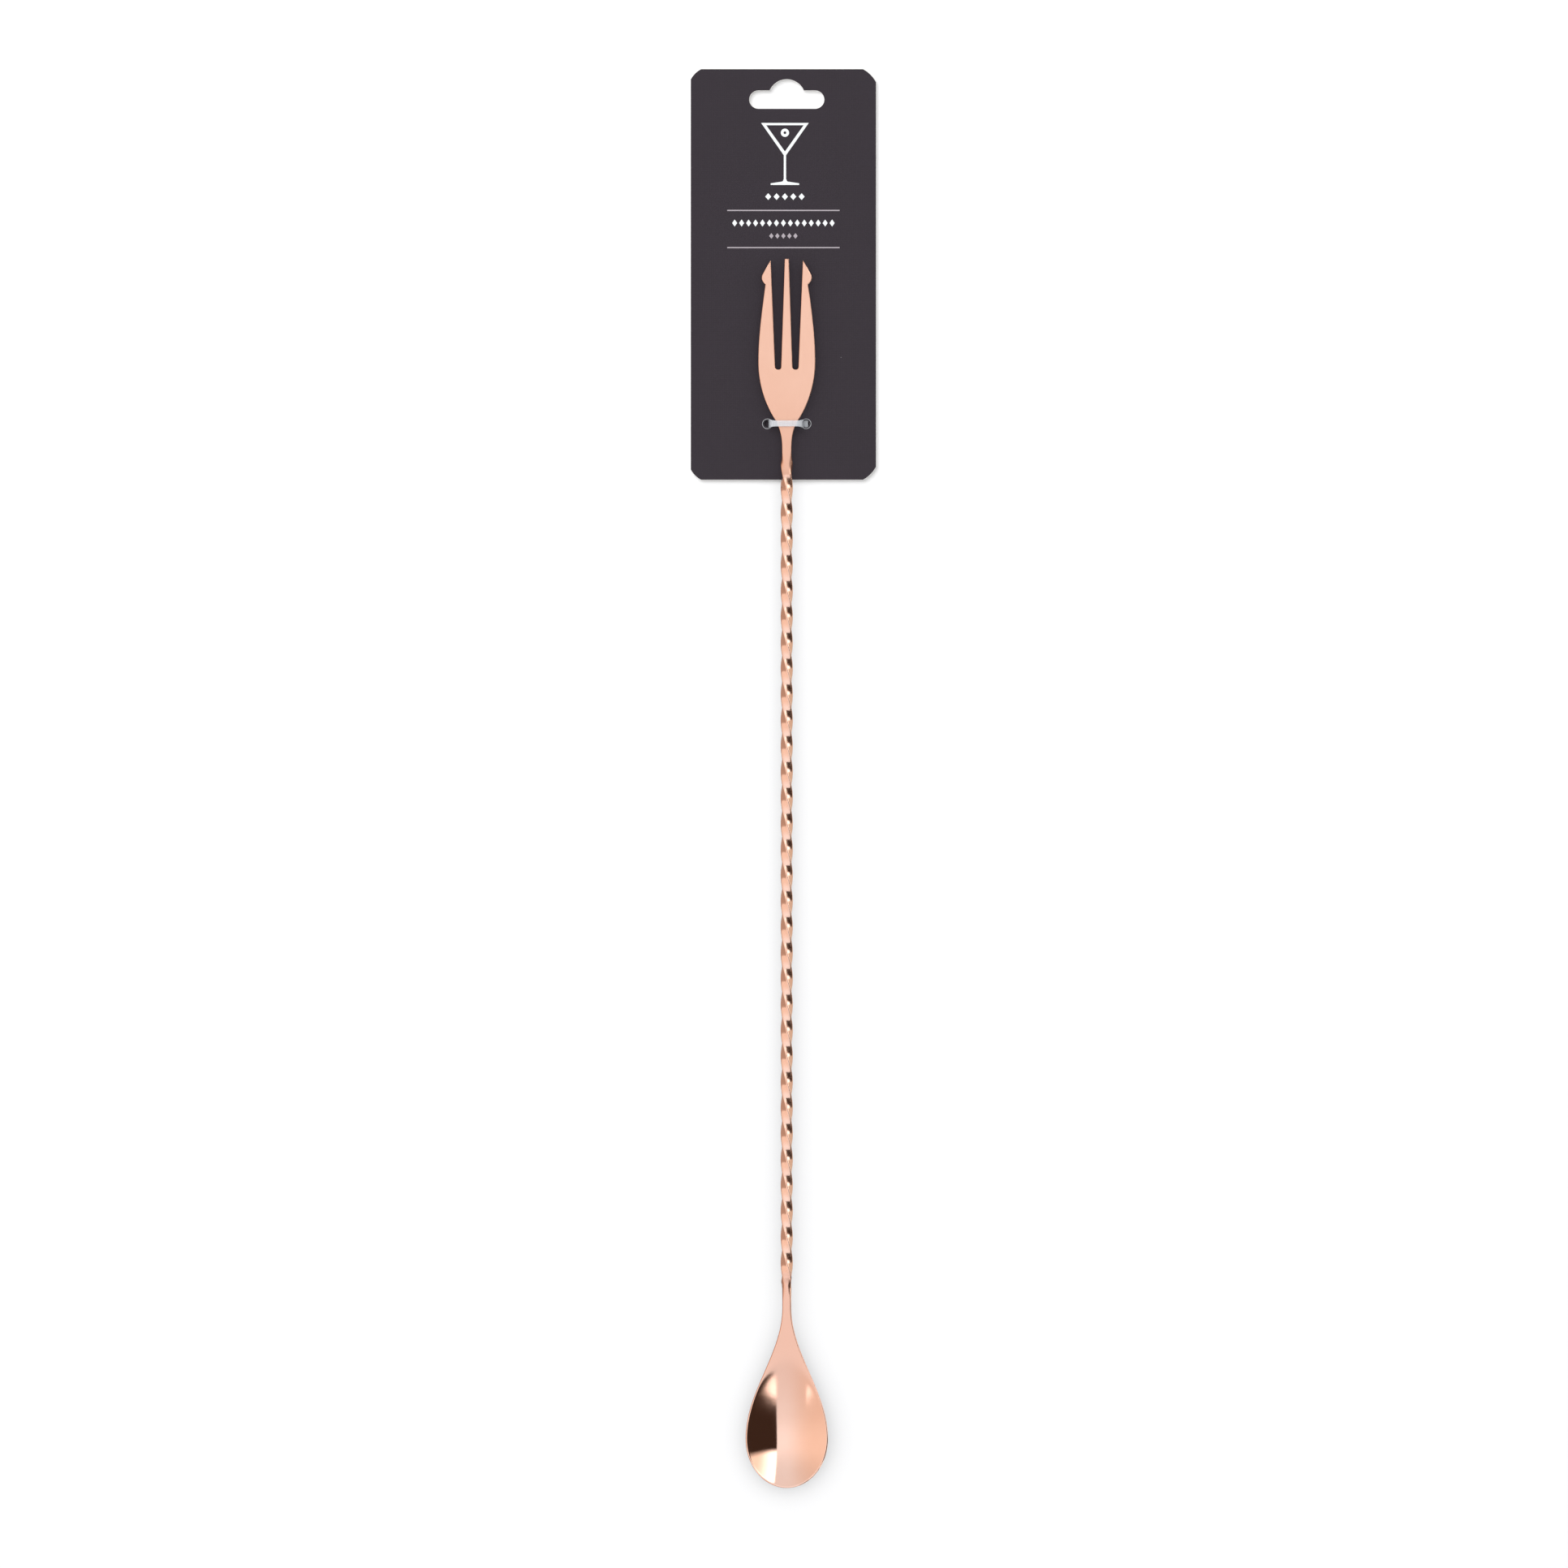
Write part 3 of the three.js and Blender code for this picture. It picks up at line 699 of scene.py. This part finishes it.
def make_bowl():
    """The bowl and its neck, as two mirrored halves joined along their middle line."""
    ribs = bowl_ribs()
    bm = bmesh.new()
    for side in (1, -1):
        rows = [[(AXIS_X + side * x, y, z) for x, y, z in rib] for rib in ribs]
        rows += neck_rows(ribs[-1], side)
        rows = [[bm.verts.new(point) for point in row] for row in rows]
        for row, following in zip(rows, rows[1:]):
            for i in range(len(row) - 1):
                bm.faces.new((row[i], row[i + 1], following[i + 1], following[i]))
    bmesh.ops.remove_doubles(bm, verts=bm.verts, dist=1e-4)
    bmesh.ops.dissolve_degenerate(bm, edges=bm.edges, dist=1e-5)
    open_edges = [edge for edge in bm.edges if edge.is_boundary]
    cap = bmesh.ops.edgeloop_fill(bm, edges=open_edges)["faces"]
    for face in cap:
        for edge in face.edges:
            edge.smooth = False
    mesh = finish_mesh("bowl_shell", bm)
    return piece_from("bowl_shell", mesh, "spoon", [BOWL_COPPER], ["bowl"])


# ---------------------------------------------------------------- hang card


def card_outline(inset=0.0):
    """The card's outline, with shallow curved cuts across its corners."""
    left, bottom = face_low.x + inset, face_low.y + inset
    right, top = face_high.x - inset, face_high.y - inset
    left_cut = 3.4
    right_cut = 4.3
    bulge = 0.3  # how far the cut's middle is pulled from the chord towards the corner
    corners = [
        (right, bottom, right_cut, (-1, 0), (0, 1)),
        (right, top, right_cut, (0, -1), (-1, 0)),
        (left, top, left_cut, (1, 0), (0, -1)),
        (left, bottom, left_cut, (0, 1), (1, 0)),
    ]
    points = []
    for x, y, cut, come, go in corners:
        start = (x + come[0] * cut, y + come[1] * cut)
        end = (x + go[0] * cut, y + go[1] * cut)
        control = (lerp((start[0] + end[0]) / 2, x, bulge), lerp((start[1] + end[1]) / 2, y, bulge))
        points.append(start)
        points += quadratic(start, control, end, 8)
    return points


def hang_slot():
    """The hang slot: two round-ended arms with a dome between them."""
    arm_width = 24.3
    arm_radius = 2.9
    bottom_margin = 12.9  # the card's top edge to the slot's bottom edge
    arm_end = arm_width / 2 - arm_radius
    arm_level = face_high.y - bottom_margin + arm_radius
    dome_radius = 6
    dome_level = arm_level + 0.55
    shoulder = math.degrees(math.asin((arm_level + arm_radius - dome_level) / dome_radius))
    points = arc((AXIS_X + arm_end, arm_level), arm_radius, -90, 90, 14)
    points += arc((AXIS_X, dome_level), dome_radius, shoulder, 180 - shoulder, 24)
    points += arc((AXIS_X - arm_end, arm_level), arm_radius, 90, 270, 14)
    return points


HOLE_RADIUS = 1.6
HOLE_OFFSETS = (-6.3, 6.3)  # from the spoon's axis


def tie_hole(offset):
    return circle((AXIS_X + offset, TIE_LEVEL), HOLE_RADIUS, 32)


def pocket():
    """The window in the core board that the tie's end bars lie in."""
    return rectangle(AXIS_X, TIE_LEVEL, half_width=8.7, half_length=2.6)


def make_sheet(name, node, openings):
    """A cover sheet: dark linen on both faces, white where the die has cut it."""
    low, high = node_box(node)
    bm = plate([card_outline(), hang_slot()] + openings, low.z, high.z, edge_radius=0.12, edge_steps=2)
    for face in bm.faces:
        face.material_index = 0 if abs(face.normal.z) > 0.999 else 1
    mesh = finish_mesh(name, bm, smooth=False)
    return piece_from(name, mesh, "card", [LINEN, BOARD], [node])


def make_core():
    """The white board between the sheets, cut back a hair from their edges."""
    loops = [card_outline(inset=0.04), hang_slot(), pocket()]
    bm = plate(loops, core_low.z, core_high.z, edge_radius=0.08, edge_steps=2)
    mesh = finish_mesh("core_board", bm, smooth=False)
    return piece_from("core_board", mesh, "card", [BOARD], ["card_core_board"])


def make_hole_lip(name, offset):
    """The sheet's torn white burr round a punched hole, and dark linen lining the hole's wall below it,
    which is painted shade.
    """
    profile = [  # radius and height above the card's face
        (1.74, 0.0),
        (1.7, 0.07),
        (1.6, 0.1),
        (1.5, 0.06),
        (1.45, -0.03),
        (1.32, -0.2),
        (1.22, -0.3),
        (1.16, -0.32),
        (1.12, -0.36),
        (1.18, -0.42),
        (1.5, -0.3),
        (1.58, -0.06),
    ]
    torn_bands = {1, 2, 7}  # stretches of the profile, by number, where white paper shows
    steps = 96
    bm = bmesh.new()
    rows = []
    for i in range(steps):
        turn = 2 * math.pi * i / steps
        wobble = 1 + 0.008 * math.sin(2 * turn + offset) + 0.004 * math.sin(3 * turn)
        row = []
        for radius, height in profile:
            x = AXIS_X + offset + radius * wobble * math.cos(turn)
            y = TIE_LEVEL + radius * wobble * math.sin(turn)
            row.append(bm.verts.new((x, y, CARD_FACE + height)))
        rows.append(row)
    count = len(profile)
    for i in range(steps):
        row = rows[i]
        following = rows[(i + 1) % steps]
        for j in range(count):
            k = (j + 1) % count
            face = bm.faces.new((row[j], row[k], following[k], following[j]))
            # faces outside the torn bands line the hole's wall with dark linen: painted shade inside the
            # hole
            face.material_index = 1 if j in torn_bands else 0
    mesh = finish_mesh(name, bm)
    return piece_from(name, mesh, "card", [LINEN, TORN_PAPER])


# ---------------------------------------------------------------- tie


def tie_stations():
    """Stations along the tie from its left end bar to its right one: place, direction, half-sizes."""
    left_leg = -5.7
    right_leg = 5.35
    left_bar = -5.2
    right_bar = 6.2
    bridge_half = 3.2
    half_thickness = 0.25
    bridge = tie_high.z - half_thickness
    bar_bottom = tie_low.z
    bar_top = bar_bottom + 0.9
    bend = AXIS_Z - 1
    bevel = 0.12
    bar = (1.9, 0.75)
    bar_end = (bar[0] - bevel, bar[1] - bevel)
    leg = (0.95, half_thickness)
    knob = (1.3, half_thickness)
    strap = (0.975, half_thickness)
    up = Vector((0, 1))

    def foot(bar_x, leg_x):
        """An end bar with bevelled edges and the leg that rises from it, from the bottom up."""
        return [
            (Vector((bar_x, bar_bottom)), up, bar_end),
            (Vector((bar_x, bar_bottom + bevel)), up, bar),
            (Vector((bar_x, bar_top - bevel)), up, bar),
            (Vector((bar_x, bar_top)), up, bar_end),
            (Vector((leg_x, bar_top + bevel)), up, leg),
            (Vector((leg_x, CARD_FACE + 0.1)), up, leg),
            (Vector((leg_x, CARD_FACE + 0.5)), up, knob),
            (Vector((leg_x, bend)), up, knob),
        ]

    def bend_over(leg_x, side):
        """The quarter bend from a leg up to the bridge."""
        steps = 14
        foot_point = Vector((leg_x, bend))
        corner = Vector((leg_x, bridge))
        end = Vector((side * bridge_half, bridge))
        bent = []
        for i in range(1, steps + 1):
            t = i / steps
            place = foot_point * (1 - t) ** 2 + corner * 2 * t * (1 - t) + end * t**2
            heading = ((corner - foot_point) * (1 - t) + (end - corner) * t).normalized()
            half_width = lerp(knob[0], strap[0], smoothstep(t, 0.3, 0.9))
            bent.append((place, heading, (half_width, half_thickness)))
        return bent

    left = foot(left_bar, left_leg) + bend_over(left_leg, -1)
    right = foot(right_bar, right_leg) + bend_over(right_leg, 1)
    return left + [(place, -heading, sizes) for place, heading, sizes in reversed(right)]


def strap_ring(place, heading, half_width, half_thickness):
    """A rounded rectangular section across the strap's path."""
    across = Vector((heading.y, -heading.x))
    radius = min(half_thickness * 0.7, 0.2)
    steps = 5
    points = []
    for corner in range(4):
        side_w = 1 if corner in (0, 3) else -1
        side_t = 1 if corner in (0, 1) else -1
        for i in range(steps):
            turn = math.radians(90 * corner + 90 * i / (steps - 1))
            w = side_w * (half_width - radius) + radius * math.cos(turn)
            t = side_t * (half_thickness - radius) + radius * math.sin(turn)
            offset = across * t
            points.append((AXIS_X + place.x + offset.x, TIE_LEVEL + w, place.y + offset.y))
    return points


def make_tie():
    rings = [strap_ring(place, heading, *sizes) for place, heading, sizes in tie_stations()]
    mesh = finish_mesh("tie", loft(rings))
    return piece_from("tie", mesh, "card", [PLASTIC], ["card_tie"])


# ---------------------------------------------------------------- print


INK_THICKNESS = 0.03


def make_print(name, shapes, material):
    """Ink on the card's face. Each shape is a list of closed outlines: its edge, and any holes in it."""
    bm = bmesh.new()
    for loops in shapes:
        join_into(bm, plate(loops, CARD_FACE, CARD_FACE + INK_THICKNESS, edge_radius=0))
    mesh = finish_mesh(name, bm, smooth=False)
    return piece_from(name, mesh, "card", [material], [f"print_{name}"])


def middle_and_size(node):
    low, high = node_box(node)
    return (low + high) / 2, high - low


def rule(node):
    """A thin rule, as long and as wide as the CAD one."""
    centre, size = middle_and_size(node)
    return [[rectangle(centre.x, centre.y, size.x / 2, size.y / 2)]]


def lozenges(node, count):
    """A row of separate lozenges, as long and as high as the CAD row."""
    centre, size = middle_and_size(node)
    half_filled = 0.36  # half a lozenge's width, as a share of the pitch
    pitch = size.x / (count - 1 + 2 * half_filled)
    reach = pitch * half_filled
    half_height = size.y / 2
    shapes = []
    for i in range(count):
        x = centre.x + (i - (count - 1) / 2) * pitch
        right = (x + reach, centre.y)
        top = (x, centre.y + half_height)
        left = (x - reach, centre.y)
        bottom = (x, centre.y - half_height)
        shapes.append([[right, top, left, bottom]])
    return shapes


def glass():
    """A plain cocktail glass in outline, with an olive in it."""
    centre, size = middle_and_size("print_emblem")
    line = 0.75
    top = centre.y + size.y / 2
    bottom = centre.y - size.y / 2
    half_rim = size.x / 2
    cone_foot = top - size.y * 0.52
    foot_half = size.x * 0.3
    right = [
        (foot_half, bottom),
        (foot_half, bottom + line * 0.7),
        (line, bottom + 1.5 * line),
        (line / 2, bottom + 2.6 * line),
        (line / 2, cone_foot),
        (half_rim, top),
    ]
    outline = [(centre.x + x, y) for x, y in right] + [(centre.x - x, y) for x, y in reversed(right)]
    inner_half = half_rim - 2.2 * line
    inside = [
        (centre.x - inner_half, top - line),
        (centre.x + inner_half, top - line),
        (centre.x, cone_foot + 1.6 * line),
    ]
    olive_centre = (centre.x, top - 3.2)
    olive = circle(olive_centre, 1.35, 28)
    olive_hole = circle(olive_centre, 0.45, 16)
    return [[outline, inside], [olive, olive_hole]]


# ---------------------------------------------------------------- build

for piece in (make_fork(), make_stem(), make_bowl()):
    piece.visible_shadow = False  # full shadows are too dark without the light that copper throws into them
make_sheet("back_sheet", "card_back_sheet", [])
make_core()
make_sheet("front_sheet", "card_front_sheet", [tie_hole(x) for x in HOLE_OFFSETS])
make_hole_lip("hole_lip_left", HOLE_OFFSETS[0])
make_hole_lip("hole_lip_right", HOLE_OFFSETS[1])
make_tie()
make_print("emblem", glass(), WHITE_INK)
make_print("name_ornament", lozenges("print_name_ornament", 5), WHITE_INK)
make_print("upper_rule", rule("print_upper_rule"), GREY_INK)
make_print("title_ornament", lozenges("print_title_ornament", 15), WHITE_INK)
make_print("size_ornament", lozenges("print_size_ornament", 5), GREY_INK)
make_print("lower_rule", rule("print_lower_rule"), GREY_INK)


# ---------------------------------------------------------------- floor, light and camera


def make_floor():
    """A wide pale floor, in metres."""
    half = 4.0
    corners = [(x, y, 0) for x, y in rectangle(0, 0, half, half)]
    mesh = bpy.data.meshes.new("floor")
    mesh.from_pydata(corners, [], [(0, 1, 2, 3)])
    floor = bpy.data.objects.new("floor", mesh)
    bpy.context.scene.collection.objects.link(floor)
    paper = colour(0.93, 0.93, 0.935)
    shader = Shader("floor")
    mesh.materials.append(shader.set(Base_Color=paper, Roughness=0.9, Specular_IOR_Level=0.1))
    floor.visible_glossy = False  # polished metal sees the world's table instead


def make_world():
    """
    A pale studio dome. Polished metal sees more of the studio: a dark flag on the right with bright
    panels beyond and nearer than it, a small window on the near left, and a warm table below.
    """
    world = bpy.data.worlds.new("studio")
    world.use_nodes = True
    bpy.context.scene.world = world
    nodes = Nodes(world.node_tree)
    direction = nodes.add("ShaderNodeTexCoord").outputs["Generated"]
    parts = nodes.add("ShaderNodeSeparateXYZ")
    nodes.join(direction, parts.inputs[0])
    x, y, z = parts.outputs
    path = nodes.add("ShaderNodeLightPath")
    white_panel = colour(2.4, 2.4, 2.4)

    tilt = nodes.math("MULTIPLY", y, 0.14)
    lean = nodes.math("MULTIPLY", x, -0.1)
    dome = nodes.math("ADD", nodes.math("ADD", tilt, lean), 0.7)

    ceiling = nodes.mix(nodes.rise(x, -0.8, 0.1), colour(1.05, 0.93, 0.84), colour(1.13, 1.2, 1.28))
    near_dimming = nodes.math("MULTIPLY", nodes.fall(y, -0.48, 0.0), 0.14)
    far_dimming = nodes.math("MULTIPLY", nodes.rise(y, 0.1, 0.7), 0.2)
    ceiling = nodes.mix(nodes.math("ADD", near_dimming, far_dimming), ceiling, colour(0, 0, 0))

    low = nodes.fall(z, 0.3, 0.42)
    panel = nodes.mix(nodes.rise(x, 0.45, 0.8), white_panel, colour(1.25, 1.15, 1.05))
    panel = nodes.mix(low, panel, white_panel)
    near_panel = nodes.math("MULTIPLY", nodes.rise(y, -0.58, -0.52), nodes.fall(y, -0.43, -0.4))
    nearer = nodes.math("MULTIPLY", low, 0.24)  # the far panel comes this much nearer low down
    far_panel = nodes.rise(nodes.math("ADD", y, nearer), 0.16, 0.3)
    flag = nodes.mix(nodes.math("MAXIMUM", near_panel, far_panel), colour(0.045, 0.028, 0.02), panel)
    above = nodes.mix(nodes.rise(x, 0.31, 0.35), ceiling, flag)

    window = nodes.math("MULTIPLY", nodes.fall(x, -0.6, -0.56), nodes.fall(y, -0.41, -0.37))
    above = nodes.mix(window, above, colour(2, 2, 2))

    table = nodes.mix(nodes.rise(x, -0.3, 0.5), colour(0.52, 0.4, 0.33), colour(0.73, 0.66, 0.56))
    drop = nodes.math("MULTIPLY", nodes.math("MINIMUM", x, 0.0), 0.3)  # the table stands higher on the left
    horizon = nodes.rise(nodes.math("ADD", z, drop), -0.05, 0.08)
    mirrored = nodes.mix(horizon, table, above)

    seen = nodes.mix(path.outputs["Is Glossy Ray"], dome, mirrored)
    shown = nodes.mix(path.outputs["Is Camera Ray"], seen, colour(1, 1, 1))
    nodes.join(shown, nodes.tree.nodes["Background"].inputs["Color"])


def make_key_light():
    """A large softbox high up on the left, towards the fork's end. Metal doesn't mirror it."""
    light = bpy.data.lights.new("softbox", "AREA")
    light.shape = "SQUARE"
    light.size = 1.9
    light.energy = 44
    lamp = bpy.data.objects.new("softbox", light)
    lamp.location = (-0.8, 1.1, 2.3)
    lamp.rotation_mode = "QUATERNION"
    lamp.rotation_quaternion = (-lamp.location).to_track_quat("-Z", "Y")
    lamp.visible_glossy = False
    bpy.context.scene.collection.objects.link(lamp)


def make_camera():
    """Straight above, with a long lens. The view's upper edge is towards +Y."""
    view_width = 0.5104  # width of the view at the height of the spoon's axis
    view_centre = Vector((0.0002, -0.0019))
    distance = 4.0
    data = bpy.data.cameras.new("camera")
    data.lens = data.sensor_width * distance / view_width
    camera = bpy.data.objects.new("camera", data)
    camera.location = (view_centre.x, view_centre.y, distance + AXIS_Z * MM)
    bpy.context.scene.collection.objects.link(camera)
    bpy.context.scene.camera = camera


make_floor()
make_world()
make_key_light()
make_camera()
bpy.context.scene.view_settings.view_transform = "Standard"
bpy.context.scene.cycles.caustics_reflective = False
